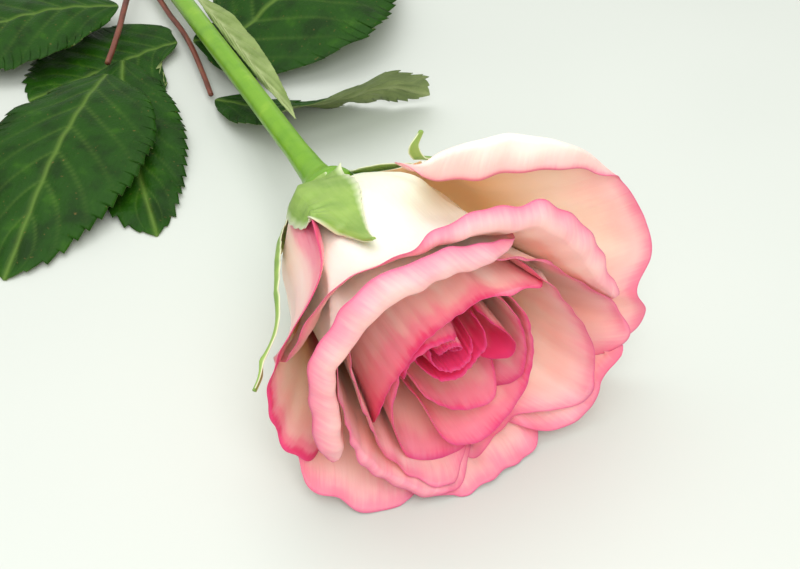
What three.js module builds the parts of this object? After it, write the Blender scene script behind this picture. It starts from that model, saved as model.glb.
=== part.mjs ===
// A cut rose lying on its side: an open cream and pink bloom, its calyx, a smooth green stem
// with two compound leaves and a narrow bract leaf.
//
// Frame: millimetres, +Z up, the resting surface at Z = 0. The stem runs towards +Y and the
// bloom faces -Y. The origin is the middle of the bottom of the whole rose's box.
//
// The bloom has a frame of its own: its axis passes through the middle of the mouth, height 0
// is the mouth, negative heights run back to the stem. Angles are in degrees round that axis,
// seen from the front, from the right-hand side (0) over the top (90).

import * as THREE from "three";

// ---- driving dimensions ----
const MOUTH_HEIGHT = 31.5; // middle of the mouth above the surface
const AXIS_RISE = 6; // degrees that the bloom looks up
const PETAL_BASE = -64; // height where the petals leave the receptacle
const PETAL_THICKNESS = 0.3;
const LAYER_STEP = 0.65; // least distance between the middles of two petals that overlap
const BASE_STEP = 0.2; // added to it where the petals fan out of the receptacle
const PUSH_PASSES = 12;
const LIP_END = 132; // degrees from the axis that a full outward lip turns to
const FOLD_TURN = 130; // degrees that a full inward lip folds over
const LIP_START = 0.25; // share of the lip that goes on up before it turns
const LIP_BEND = 0.55; // share of the lip over which it turns, before it runs on straight
const FULL_LIP = 3;
const LEAST_LIP = 0.4;
const HEART_BARREL = 2.5; // widest radius of the innermost petal's wall
const BARREL_SPREAD = 20.5; // how much wider the outermost wall's barrel is
const BARREL_REACH = 22; // crest radius over which the barrel widens
const BELLY_SHARE = 0.5; // share of the way up at which a wall is widest
const FOOT = 0.1; // width of a petal's foot, as a share of its barrel
const OPENING_POWER = 3.5; // how late a wall leaves the barrel for its crest
const LATE_OPENING = 6; // the same for the petals that flare right at the crest
const LATE_OPENERS = ["middle_petal_6"];
const FLOOR_GAP = 0.3; // lowest middle surface of a petal above the table
const COLUMN = 10; // degrees between the columns of a petal's net
const WALL_ROWS = [0, 0.1, 0.26, 0.5, 0.78, 1]; // shares of the way from base to crest
const LIP_ROWS = [0.5, 1]; // shares of the rolled-over lip

const PETAL_PINKS = { heart: 0xe0527c, inner: 0xee8a98, middle: 0xf4a9b4, guard: 0xf3cfcf };
const CALYX_GREEN = 0x8fbf55;
const STEM_GREEN = 0x86bd3c;
const LEAF_GREEN = 0x2f6226;
const PALE_LEAF_GREEN = 0x95a876;
const STALK_RED = 0x6b3a30;

// ---- the petals, from the heart outwards ----
// Each crest point is [angle, radius, height, lip]. The lip is the width of the margin that
// rolls over beyond the crest: outwards when positive, inwards when negative.
const PETALS = [
  ["heart_petal_1", [
      [-60, 1.6, -6, 0], [20, 2.4, -3.4, 0], [90, 2.2, -3, 0], [170, 2.2, -4, 0],
      [230, 2.2, -7, 0],
  ]],
  ["heart_petal_2", [
      [150, 3.2, -8, 0], [200, 4, -4.6, 0], [260, 4.4, -3.4, 0], [320, 4.8, -3.2, 0],
      [370, 5.2, -5, 0],
  ]],
  ["heart_petal_3", [
      [200, 6.5, -10, 0], [240, 7, -5, 0], [280, 7.6, -3.8, 0], [320, 7.4, -4.2, 0],
      [360, 8.2, -4, 0], [390, 8.2, -8, 0],
  ]],
  ["heart_petal_4", [
      [60, 4.6, -8, 0], [80, 4.8, -3, 0], [110, 6, -1.6, 0], [140, 8, -1.6, 0],
      [160, 10, -1.8, 0], [190, 10.8, -3.4, 0], [210, 10.5, -8, 0],
  ]],
  ["heart_petal_5", [
      [-50, 12.5, -12, 0], [-30, 15, -5, 0], [-15, 15.4, -4, 0], [0, 12.8, -4, 0],
      [20, 10.5, -4, 0.8], [40, 9.5, -7, 0],
  ]],
  ["inner_petal_1", [
      [210, 9, -12, 0], [230, 10.5, -5, 0], [254, 13, -4, 0], [272, 16.2, -4, 0],
      [290, 19.4, -4, 0], [302, 20, -4.5, 0], [320, 17.5, -12, 0],
  ]],
  ["inner_petal_2", [
      [-60, 22, -9, 0], [-40, 20, -3, 0], [-20, 17.4, -2, 0], [0, 15.8, -2, 0],
      [20, 15, -2, 0], [45, 15, -3, 0], [70, 15.6, -8, 0],
  ]],
  ["inner_petal_3", [
      [230, 12.6, -14, 0], [250, 15.6, -6, 0], [262, 21.5, -1.5, 0], [280, 25.6, -1, 0],
      [300, 23.6, -1, 0], [320, 21, -1, 0], [340, 18.6, -1, 0], [360, 17, -1, 0],
      [380, 16.6, -1, 0], [400, 16.4, -3, 0], [412, 15.6, -10, 0],
  ]],
  ["inner_petal_4", [
      [150, 10.5, -10, 0], [170, 11.4, -4, 0], [190, 13, -2, 0], [210, 16.4, -2, 0],
      [230, 21, -2, 0], [245, 25.8, -2, 0], [260, 27.2, -2, 0], [280, 27.4, -4, 0],
      [300, 26, -10, 0],
  ]],
  ["inner_petal_5", [
      [20, 24.5, -9, 0], [32, 22.5, -2, -0.6], [45, 19.6, -1, -1], [58, 16.8, -1, -0.8],
      [69, 15.2, -1, 0], [82, 13.2, -1, 0], [96, 11.9, -1, 0], [112, 11.2, -1, 0],
      [130, 11.2, -1, 0], [156, 11.8, -1, 0], [170, 13, -1, 0], [180, 14.3, -1.5, 0],
      [192, 16, -2, 0], [205, 18.6, -3, 0], [215, 20.8, -5, 0], [225, 23, -9, 0],
  ]],
  ["middle_petal_1", [
      [140, 25.5, -9, 0], [150, 25.5, -2, 0], [168, 22.8, 0, 0], [185, 21.2, 0, 0],
      [205, 21.6, 0, 0], [225, 24.2, 0, 0], [245, 27.2, 1.5, 0.8], [262, 28, 3, 1],
      [278, 27.6, -5, 0],
  ]],
  ["middle_petal_2", [
      [140, 27, -12, 0], [155, 27, -3, 0], [165, 26.6, 0, 0], [180, 25.6, 1, 0],
      [200, 25.2, 1, 1.5], [220, 26.4, 1, 2.4], [238, 28, 2, 2.6], [252, 29.2, 3.5, 2],
      [265, 29.4, 4, 0], [279, 28.8, -5, 0],
  ]],
  ["middle_petal_3", [
      [268, 29, -8, 0], [278, 28.2, -1.5, 0], [290, 27.4, -2.5, 0], [304, 28, -3, 0],
      [314, 32, -1, 0.8], [322, 37, 0, 1.4], [334, 35, 0, 0.8], [346, 32.2, 0, 0],
      [360, 27.8, 0, 0], [372, 25.4, 0, 0], [390, 23.4, -2, 0], [410, 22.4, -12, 0],
  ]],
  ["middle_petal_4", [
      [-30, 38, -9, 0], [-22, 41, -4, 0.8], [-14, 42.6, -3, 1.4], [-4, 38.6, -3, 0.8],
      [6, 33.6, -3, 0.5], [18, 29.4, -3, 0], [30, 27, -3, 0.6], [45, 25.2, -3, 1],
      [62, 23, -3, 1], [80, 22, -4, 0], [90, 21, -10, 0],
  ]],
  ["middle_petal_5", [
      [57, 27.5, -8, 0], [62, 26.2, -3, 2], [72, 25, 0, 4.6], [84, 24.2, 1, 6],
      [100, 24.4, 1, 7], [114, 25.2, 1, 7.8], [130, 26.6, 1, 8], [147, 27, 1, 7.4],
      [160, 27.2, 1, 6.6], [175, 26.4, 1, 6.4], [190, 26.8, 1, 6.6], [202, 28.2, 0, 5.6],
      [210, 29.8, -2, 3], [216, 30.2, -6, 0.8], [222, 30, -14, 0],
  ]],
  ["middle_petal_6", [
      [-12, 34, -14, 0], [0, 33, -4, 2], [12, 32, -2, 4.4], [25, 31.8, -1, 5.4],
      [40, 31.8, -1, 6], [55, 31.6, -1, 6], [70, 30.6, -1, 5.6], [84, 29.8, -1, 5],
      [94, 28.8, -2.5, 3.8], [104, 28.2, -4, 2], [116, 28.8, -5.5, 0.8],
      [127, 31.6, -6, 0], [140, 33, -6, 0], [155, 33.8, -6, 0], [164, 33.8, -7.5, 0],
      [171, 32.6, -12, 0], [178, 31.8, -18, 0],
  ]],
  ["guard_petal_1", [
      [290, 29, -12, 0], [302, 30.6, -1, 0], [309, 35.6, 0.5, 0.8], [317, 38.6, 1, 1.2],
      [327, 37, 0.5, 0.8], [336, 34, 0, 0], [348, 33, -9, 0],
  ]],
  ["guard_petal_2", [
      [128, 28.6, -30, 0], [134, 30, -17, 0], [142, 32.4, -10, 0], [152, 33.6, -9, 0],
      [165, 34.8, -9.5, 0], [180, 36.2, -10, 0.8], [195, 37.4, -10, 0.8],
      [208, 37.8, -10, 0.8], [218, 37, -11, 0], [228, 34, -20, 0],
  ]],
  ["guard_petal_3", [
      [238, 31, -8, 0], [248, 30, 1.5, 0], [260, 29.8, 4.5, 0.5], [275, 29.8, 5, 0.8],
      [286, 31, 3.6, 0.8], [293, 33.6, 2.5, 0.5], [301, 34.4, 1, 0], [310, 35, -7, 0],
  ]],
  ["guard_petal_4", [
      [208, 36, -18, 0], [215, 38.4, -9, 0.5], [221, 40, -5, 1], [226, 38.6, -2.5, 0.8],
      [233, 38, 0, 1], [241, 35.6, 1.5, 1], [250, 32.6, 0.5, 0], [260, 31, -9, 0],
  ]],
  ["guard_petal_5", [
      [-33, 43, -20, 0], [-26, 48.6, -12, 0.4], [-20, 52.4, -10, 0.9],
      [-14, 52.4, -9.5, 0.9], [-8, 49.2, -9.5, 0], [1, 51.4, -10.5, 0.6],
      [12, 51.4, -12, 0.5], [24, 49.6, -13.5, 0], [34, 48, -15, -3], [46, 45.6, -16.5, -7],
      [58, 43, -18, -9], [70, 40, -19, -9], [80, 37.4, -19, -7],
      [88, 36, -19, -2.5], [93, 35, -23, 0],
  ]],
];

// ---- the sepals ----
// Each row is [height, angle, half-width, lift off the petals], from the receptacle to the tip.
const SEPALS = [
  ["sepal_top", [
      [-63.5, 120, 2.8, 0], [-58, 122, 5.2, 0.6], [-50, 122, 7.2, 0.6], [-43, 121, 7.8, 0.2],
      [-38.5, 120, 7, 0], [-35, 119, 5.6, 0], [-31.6, 118, 4.2, 0], [-28, 117, 2.9, 0.2],
      [-24, 116, 1.7, 0.5], [-20, 114.5, 0.9, 1], [-17, 112.5, 0.35, 1.8],
  ]],
  ["sepal_left", [
      [-63.5, 188, 3.4, 0], [-57, 180, 3, 0.2], [-50, 170, 2.2, 0.4], [-43, 163, 1.6, 0.8],
      [-36, 162, 1.3, 2], [-29, 164, 1.2, 3], [-22, 168, 1.3, 2.4], [-16, 174, 1.1, 1.8],
      [-11, 178.5, 0.5, 1.4],
  ]],
  ["sepal_under", [
      [-63.5, 262, 4.4, 0], [-57, 262, 4.4, 0], [-50, 262, 3, 0], [-45, 262, 1.2, 0],
      [-41, 262, 0.6, 0],
  ]],
  ["sepal_right", [
      [-63.5, 334, 4.4, 0], [-55, 334, 4.8, 0], [-45, 333, 3.4, 0], [-36, 332, 1.6, 0],
      [-30, 331, 0.6, 0.4],
  ]],
  ["sepal_back", [
      [-63.5, 38, 3.2, 0], [-56, 38, 3, 0.2], [-48, 39, 2.4, 0.2], [-42, 45, 2, 0.2],
      [-36, 60, 1.6, 0.4], [-32, 75, 1.3, 1], [-29.5, 81, 1, 4], [-28.5, 80, 0.5, 7],
  ]],
];
const SEPAL_THICKNESS = 0.5;
const SEPAL_CLEARANCE = 1.2; // from the outermost petal's middle to the sepal's middle

// ---- the stem: [height on the bloom's axis, radius] ----
const STEM = [[-64.8, 7.4], [-66.5, 8.2], [-69, 7.6], [-72, 5.8], [-75, 4.4], [-80, 3.6],
  [-92, 3.1], [-140, 3], [-190, 3],
  [-226, 3.1], [-231, 3.7], [-236, 3.8], [-241, 3.2], [-267, 3.2]];
const STEM_SIDES = 16;

// ---- the leaves, laid out from the point on the table below the mouth ----
const STALK_SIDES = 8;
const STALKS = [
  ["leaf_left_stalk", 1.1, [[-4.9, 236, 7], [-9, 224, 8], [-16, 208, 8], [-22, 194, 7.4],
    [-27, 183, 7.2], [-30.5, 176, 7]]],
  ["leaf_right_stalk", 1.0, [[-4.7, 229, 6], [-4.6, 215, 5.6], [-4.2, 200, 5],
    [-3.4, 188, 5], [-3.6, 176, 5], [-4.6, 162, 4], [-5.5, 152, 3]]],
];
const LEAF_THICKNESS = 0.5;
const LEAF_ROWS = 9;
const LEAF_COLUMNS = [-1, -0.5, 0, 0.5, 1];
// Midrib points, half-widths on its left and right, the droop of the margins, and the roll
// in degrees at the base and at the tip.
const LEAFLETS = [
  { name: "leaf_left_leaflet_end",
    ribs: [[-32, 172, 6], [-43, 153, 10], [-58, 130, 9], [-78, 99, 0.6]],
    left: 24, right: 21, droop: 2, roll: [0, 0] },
  { name: "leaf_left_leaflet_outer",
    ribs: [[-19, 206, 8.4], [-40, 208, 11], [-64, 208, 9], [-86, 203, 1.5]],
    left: 22, right: 24, droop: 3, roll: [0, 0] },
  { name: "leaf_left_leaflet_inner",
    ribs: [[-25, 181, 3.8], [-31, 158, 4.2], [-35, 130, 3.4], [-38, 99, 0.6]],
    left: 15, right: 19, droop: 1, roll: [0, 0] },
  { name: "leaf_right_leaflet_inner",
    ribs: [[-6.5, 184, 3.6], [-16, 186, 1.6], [-38, 181, 0.6], [-56, 176, 0.5]],
    left: 24, right: 26, droop: 0.6, roll: [0, 0] },
  { name: "leaf_right_leaflet_outer",
    ribs: [[-2.5, 178, 6.5], [12, 176, 7], [36, 184, 15], [74, 198, 10]],
    left: 28, right: 34, droop: 3, roll: [0, 0] },
  { name: "leaf_right_leaflet_end",
    ribs: [[-5, 150, 2.4], [8, 137, 4], [24, 127, 8], [40, 124, 10], [54, 123, 4]],
    left: 11, right: 16, droop: 1, roll: [0, 75] },
  { name: "bract_leaf",
    ribs: [[4.8, 200, 11], [5.4, 170, 14.5], [5.4, 135, 18], [5.2, 106, 21]],
    left: 5, right: 1.6, droop: 0.5, roll: [-10, -20] },
];

const degrees = THREE.MathUtils.degToRad;

// ---- the bloom's frame ----
const mouth = new THREE.Vector3(0, 0, MOUTH_HEIGHT);
const forward = new THREE.Vector3(0, -Math.cos(degrees(AXIS_RISE)), Math.sin(degrees(AXIS_RISE)));
const across = new THREE.Vector3(1, 0, 0);
const upward = new THREE.Vector3().crossVectors(forward, across);

function bloomPoint(angle, radius, height) {
  return mouth.clone()
    .addScaledVector(across, radius * Math.cos(degrees(angle)))
    .addScaledVector(upward, radius * Math.sin(degrees(angle)))
    .addScaledVector(forward, height);
}

// How far out a petal may be at an angle and height before it meets the table.
function tableRadius(angle, height) {
  const fall = -Math.sin(degrees(angle)) * upward.z;
  const room = MOUTH_HEIGHT + height * forward.z - FLOOR_GAP;
  return fall > 0 ? room / fall : Infinity;
}

// ---- a petal's outline and wall ----
// A smooth curve through the crest points, read at one angle.
function crestAt(points, angle) {
  const last = points.length - 1;
  let k = 0;
  while (k < last - 1 && angle > points[k + 1][0]) k += 1;
  const [before, from] = [points[Math.max(k - 1, 0)], points[k]];
  const [to, after] = [points[k + 1], points[Math.min(k + 2, last)]];
  const span = to[0] - from[0];
  const t = THREE.MathUtils.clamp((angle - from[0]) / span, 0, 1);
  return [1, 2, 3].map((i) => {
    const slopeIn = (to[i] - before[i]) / (to[0] - before[0]) * span;
    const slopeOut = (after[i] - from[i]) / (after[0] - from[0]) * span;
    return from[i] * (2 * t ** 3 - 3 * t ** 2 + 1) + slopeIn * (t ** 3 - 2 * t ** 2 + t)
      + to[i] * (3 * t ** 2 - 2 * t ** 3) + slopeOut * (t ** 3 - t ** 2);
  });
}

// Radius of the wall below a crest of the given radius, a share of the way up: a barrel that
// swells from the receptacle, then opens to the crest.
function wallRadius(crest, share, power) {
  const body = HEART_BARREL + BARREL_SPREAD * Math.tanh(crest / BARREL_REACH);
  const swell = Math.sin(Math.PI / 2 * Math.min(1, share / BELLY_SHARE)) ** 0.8;
  const barrel = FOOT + (1 - FOOT) * swell;
  const opening = share ** power;
  return body * barrel * (1 - opening) + crest * opening;
}

// ---- keeping the layers apart ----
// For every column the outermost radius used so far, at each whole millimetre of height.
const HIGHEST = 10;
const EMPTY = -1000;
const shells = new Map();

function shellOf(angle) {
  const key = ((angle % 360) + 360) % 360;
  if (!shells.has(key)) shells.set(key, new Array(HIGHEST - PETAL_BASE + 1).fill(EMPTY));
  return shells.get(key);
}

// Petals lie closer together at the mouth than where they fan out of the receptacle.
function layerStep(height) {
  const depth = THREE.MathUtils.clamp(height / PETAL_BASE, 0, 1);
  return LAYER_STEP + BASE_STEP * depth ** 6;
}

function coversColumn(points, angle) {
  const first = points[0][0];
  const last = points[points.length - 1][0];
  return [angle - 360, angle, angle + 360].some((a) => a >= first && a <= last);
}

// The share-by-share wall of one column, pushed clear of the petals inside it.
function wallColumn(name, points, angle, layersOutside) {
  const [crestRadius, crestHeight] = crestAt(points, angle);
  const shell = shellOf(angle);
  const power = LATE_OPENERS.includes(name) ? LATE_OPENING : OPENING_POWER;
  const rows = WALL_ROWS.map((share) => {
    const height = PETAL_BASE + (crestHeight - PETAL_BASE) * share;
    const room = tableRadius(angle, height) - layersOutside * layerStep(height);
    return { height, radius: Math.min(wallRadius(crestRadius, share, power), room) };
  });
  for (let pass = 0; pass < PUSH_PASSES; pass += 1) {
    const lifts = rows.map(() => 0);
    for (let k = 0; k + 1 < rows.length; k += 1) {
      const [low, high] = [rows[k], rows[k + 1]];
      for (let h = Math.ceil(low.height); h <= Math.ceil(high.height); h += 1) {
        const t = THREE.MathUtils.clamp((h - low.height) / (high.height - low.height), 0, 1);
        const radius = low.radius + (high.radius - low.radius) * t;
        const lack = shell[h - PETAL_BASE] + layerStep(h) - radius;
        lifts[k] = Math.max(lifts[k], lack * (1 - t));
        lifts[k + 1] = Math.max(lifts[k + 1], lack * t);
      }
    }
    rows.forEach((row, k) => { row.radius += lifts[k]; });
  }
  return rows;
}

// The margin beyond the crest: an arc that turns outwards, or inwards for a negative lip.
function lipColumn(points, angle, wall) {
  const lip = crestAt(points, angle)[2];
  const [below, crest] = wall.slice(-2);
  const lean = Math.atan2(crest.radius - below.radius, crest.height - below.height);
  const turn = lip < 0 ? -degrees(FOLD_TURN) : degrees(LIP_END) - lean;
  const reach = Math.max(Math.abs(lip), LEAST_LIP);
  let { radius, height } = crest;
  return LIP_ROWS.map((share, k) => {
    const step = reach * (share - (k ? LIP_ROWS[k - 1] : 0));
    const bent = Math.min(1, (share - LIP_START) / LIP_BEND);
    const direction = lean + turn * bent * Math.min(1, Math.abs(lip) / FULL_LIP);
    radius += step * Math.sin(direction);
    height += step * Math.cos(direction);
    return { radius, height };
  });
}

function recordShell(angle, rows) {
  const shell = shellOf(angle);
  for (let k = 0; k + 1 < rows.length; k += 1) {
    const [low, high] = [rows[k], rows[k + 1]].sort((a, b) => a.height - b.height);
    const isLip = k + 1 >= WALL_ROWS.length;
    const start = isLip ? Math.floor(low.height) : Math.ceil(low.height);
    const stop = isLip ? Math.ceil(high.height) : Math.floor(high.height);
    for (let h = start; h <= stop; h += 1) {
      if (h < PETAL_BASE || h > HIGHEST) continue;
      const rise = Math.max(high.height - low.height, 1e-6);
      const t = THREE.MathUtils.clamp((h - low.height) / rise, 0, 1);
      const radius = low.radius + (high.radius - low.radius) * t;
      shell[h - PETAL_BASE] = Math.max(shell[h - PETAL_BASE], radius);
    }
  }
}

// ---- solids from nets ----
// A closed sheet of even thickness round a net of points, net[column][row].
function sheetGeometry(net, thickness) {
  const columns = net.length;
  const rows = net[0].length;
  const normals = net.map((line, i) => line.map((_, j) => {
    const [left, right] = [net[Math.max(i - 1, 0)][j], net[Math.min(i + 1, columns - 1)][j]];
    const [under, over] = [line[Math.max(j - 1, 0)], line[Math.min(j + 1, rows - 1)]];
    const along = new THREE.Vector3().subVectors(right, left);
    return along.cross(new THREE.Vector3().subVectors(over, under)).normalize();
  }));
  const side = (sign) => net.flatMap((line, i) => line.map(
    (point, j) => point.clone().addScaledVector(normals[i][j], sign * thickness / 2)));
  const points = [...side(1), ...side(-1)];
  const half = columns * rows;
  const at = (i, j) => i * rows + j;
  const faces = [];
  const quad = (a, b, c, d) => faces.push(a, b, c, a, c, d);
  for (let i = 0; i + 1 < columns; i += 1) {
    for (let j = 0; j + 1 < rows; j += 1) {
      quad(at(i, j), at(i + 1, j), at(i + 1, j + 1), at(i, j + 1));
      quad(half + at(i, j), half + at(i, j + 1), half + at(i + 1, j + 1), half + at(i + 1, j));
    }
  }
  const border = [];
  for (let i = 0; i < columns; i += 1) border.push(at(i, 0));
  for (let j = 1; j < rows; j += 1) border.push(at(columns - 1, j));
  for (let i = columns - 2; i >= 0; i -= 1) border.push(at(i, rows - 1));
  for (let j = rows - 2; j > 0; j -= 1) border.push(at(0, j));
  border.forEach((a, k) => {
    const b = border[(k + 1) % border.length];
    quad(b, a, half + a, half + b);
  });
  const geometry = new THREE.BufferGeometry().setFromPoints(points);
  geometry.setIndex(faces);
  return geometry;
}

function petalGeometry(index) {
  const [name, points] = PETALS[index];
  const first = Math.ceil(points[0][0] / COLUMN) * COLUMN;
  const last = points[points.length - 1][0];
  const hasLip = points.some(([, , , lip]) => Math.abs(lip) >= LEAST_LIP);
  const net = [];
  for (let angle = first; angle <= last; angle += COLUMN) {
    const outside = PETALS.slice(index + 1).filter(([, outer]) => coversColumn(outer, angle)).length;
    const wall = wallColumn(name, points, angle, outside);
    const rows = hasLip ? [...wall, ...lipColumn(points, angle, wall)] : wall;
    recordShell(angle, rows);
    net.push(rows.map(({ radius, height }) => {
      const point = bloomPoint(angle, radius, height);
      point.z = Math.max(point.z, FLOOR_GAP);
      return point;
    }));
  }
  return sheetGeometry(net, PETAL_THICKNESS);
}

// ---- the sepals' sheets ----
function shellRadius(angle, height) {
  const low = Math.floor(angle / COLUMN) * COLUMN;
  const k = Math.round(THREE.MathUtils.clamp(height, PETAL_BASE, HIGHEST)) - PETAL_BASE;
  return Math.max(shellOf(low)[k], shellOf(low + COLUMN)[k]);
}

function sepalGeometry(rows) {
  const net = LEAF_COLUMNS.map((side) => rows.map(([height, angle, halfWidth, lift]) => {
    const middle = shellRadius(angle, height);
    const turn = THREE.MathUtils.radToDeg(side * halfWidth / Math.max(middle, 1));
    const radius = Math.max(middle, shellRadius(angle + turn, height)) + SEPAL_CLEARANCE + lift;
    const point = bloomPoint(angle + turn, radius, height);
    point.z = Math.max(point.z, SEPAL_THICKNESS / 2);
    return point;
  }));
  return sheetGeometry(net, SEPAL_THICKNESS);
}

// ---- the stem with its receptacle, turned round the bloom's axis ----
function stemGeometry() {
  const first = STEM[0][0];
  const last = STEM[STEM.length - 1][0];
  const profile = [[first, 0], ...STEM, [last, 0]].reverse()
    .map(([height, radius]) => new THREE.Vector2(radius, height));
  const geometry = new THREE.LatheGeometry(profile, STEM_SIDES);
  const turn = new THREE.Matrix4().makeBasis(across, forward, across.clone().cross(forward));
  return geometry.applyMatrix4(turn.setPosition(mouth));
}

// ---- stalks: round sections along a smooth path ----
function stalkGeometry(radius, points) {
  const section = new THREE.Shape();
  for (let k = 0; k < STALK_SIDES; k += 1) {
    const turn = 2 * Math.PI * k / STALK_SIDES;
    section[k ? "lineTo" : "moveTo"](radius * Math.cos(turn), radius * Math.sin(turn));
  }
  section.closePath();
  const path = new THREE.CatmullRomCurve3(points.map((point) => new THREE.Vector3(...point)));
  const steps = 2 * points.length;
  return new THREE.ExtrudeGeometry(section, { steps, extrudePath: path, bevelEnabled: false });
}

// ---- leaflets ----
// Width of a blade along its midrib: full a little before the middle, narrow at both ends.
const BLADE_LEAN = 0.85;
const BLADE_FULLNESS = 0.8;
const LEAST_BLADE = 0.02;

function bladeShare(t) {
  return Math.max(LEAST_BLADE, Math.sin(Math.PI * t ** BLADE_LEAN) ** BLADE_FULLNESS);
}

function leafletGeometry({ ribs, left, right, droop, roll }) {
  const path = new THREE.CatmullRomCurve3(ribs.map((point) => new THREE.Vector3(...point)));
  const net = LEAF_COLUMNS.map((column) => {
    const line = [];
    for (let k = 0; k < LEAF_ROWS; k += 1) {
      const t = k / (LEAF_ROWS - 1);
      const along = path.getTangentAt(t);
      const side = new THREE.Vector3(along.y, -along.x, 0).normalize();
      side.applyAxisAngle(along, degrees(roll[0] + (roll[1] - roll[0]) * t));
      const out = column * (column < 0 ? left : right) * bladeShare(t);
      const point = path.getPointAt(t).addScaledVector(side, out);
      point.z -= droop * column ** 2 * bladeShare(t);
      point.z = Math.max(point.z, LEAF_THICKNESS / 2);
      line.push(point);
    }
    return line;
  });
  return sheetGeometry(net, LEAF_THICKNESS);
}

function named(name, geometry, color, roughness) {
  const material = new THREE.MeshStandardMaterial({ color, roughness, metalness: 0 });
  const mesh = new THREE.Mesh(geometry, material);
  mesh.name = name;
  return mesh;
}

const rose = new THREE.Group();
PETALS.forEach(([name], index) => {
  rose.add(named(name, petalGeometry(index), PETAL_PINKS[name.split("_")[0]], 0.55));
});
SEPALS.forEach(([name, rows]) => rose.add(named(name, sepalGeometry(rows), CALYX_GREEN, 0.6)));
rose.add(named("stem", stemGeometry(), STEM_GREEN, 0.45));
STALKS.forEach(([name, radius, points]) => {
  rose.add(named(name, stalkGeometry(radius, points), STALK_RED, 0.5));
});
LEAFLETS.forEach((leaflet) => {
  const color = leaflet.name === "bract_leaf" ? PALE_LEAF_GREEN : LEAF_GREEN;
  rose.add(named(leaflet.name, leafletGeometry(leaflet), color, 0.5));
});

// The origin: the middle of the bottom of the box round the whole rose.
const box = new THREE.Box3().setFromObject(rose);
const middle = box.getCenter(new THREE.Vector3());
rose.position.set(-middle.x, -middle.y, -box.min.z);

export default rose;
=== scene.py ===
"""A cut rose lying on its side: an open cream and pink bloom, its calyx, the stem, two compound
leaves and a bract leaf.

Lengths of the rose are in millimetres and turn into metres where a piece is made. The bloom has
a frame of its own: its axis passes through the middle of the mouth, height 0 is the mouth and
negative heights run back to the stem. Angles are in degrees round that axis, seen from the
front, from the right-hand side (0) over the top (90)."""

import math

import bpy
import numpy as np
from mathutils import Matrix, Vector


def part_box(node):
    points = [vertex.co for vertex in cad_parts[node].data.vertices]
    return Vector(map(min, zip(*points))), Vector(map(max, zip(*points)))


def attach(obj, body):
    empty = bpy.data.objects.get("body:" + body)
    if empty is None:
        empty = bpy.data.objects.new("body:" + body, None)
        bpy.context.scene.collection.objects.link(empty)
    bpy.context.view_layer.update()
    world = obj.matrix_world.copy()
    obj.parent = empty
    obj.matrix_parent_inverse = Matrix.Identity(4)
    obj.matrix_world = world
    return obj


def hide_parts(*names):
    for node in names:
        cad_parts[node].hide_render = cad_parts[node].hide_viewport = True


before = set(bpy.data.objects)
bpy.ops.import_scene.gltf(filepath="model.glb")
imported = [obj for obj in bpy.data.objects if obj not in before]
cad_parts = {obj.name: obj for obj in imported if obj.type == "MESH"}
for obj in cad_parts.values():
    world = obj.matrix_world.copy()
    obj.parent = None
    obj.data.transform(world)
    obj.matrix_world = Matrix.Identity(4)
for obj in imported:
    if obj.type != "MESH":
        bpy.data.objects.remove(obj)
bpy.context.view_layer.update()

# ---- driving dimensions, in millimetres and degrees ----
MM = 0.001
PLACE_SCALE = 0.01  # from millimetres to the measure of the surface patterns
MOUTH_HEIGHT = 31.5  # from the table to the middle of the mouth
AXIS_RISE = 6  # how far the mouth is tilted up
STEM_REACH = 267  # from the mouth to the cut end
STEM_RADIUS = 3.2  # at the cut end
FLOOR_GAP = 0.3  # least height of a petal's middle above the table
LEAST_FALL = 0.02  # a direction that falls less than this never meets the table
NO_LIMIT = 1000

# ---- how petals lie round each other ----
PETAL_BASE = -64  # height where the petals leave the receptacle
HIGHEST = 10  # top of the record of the space that petals fill
HEIGHT_STEP = 0.5
EMPTY = -1000
PETAL_THICKNESS = 0.26
LAYER_STEP = 0.42  # from one petal's middle to the next one's
BASE_STEP = 0.1  # what that step gains at the foot
BASE_POWER = 6
PUSH_PASSES = 14
WALL_ROWS = 34
ROW_POWER = 0.8  # below 1, rows lie closer together towards the crest

# ---- how a lip rolls over ----
LIP_ROWS = 12
LIP_END = 132  # where an outward lip points in the end, from straight towards the mouth
FOLD_TURN = 130  # how far an inward lip turns
LIP_BEND = 0.55  # share of an outward lip that is bent
FOLD_BEND = 0.3  # share of an inward lip that is bent
FULL_LIP = 3  # narrower lips turn less
LEAST_LIP = 0.8  # a petal with no lip as wide as this has none

# ---- the barrel that a wall follows before it opens towards its crest ----
BARREL_LEAST = 2.5
BARREL_GAIN = 20.5
BARREL_CREST = 22
BARREL_FOOT = 0.1
SWELL_SHARE = 0.5
SWELL_POWER = 0.8

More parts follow.
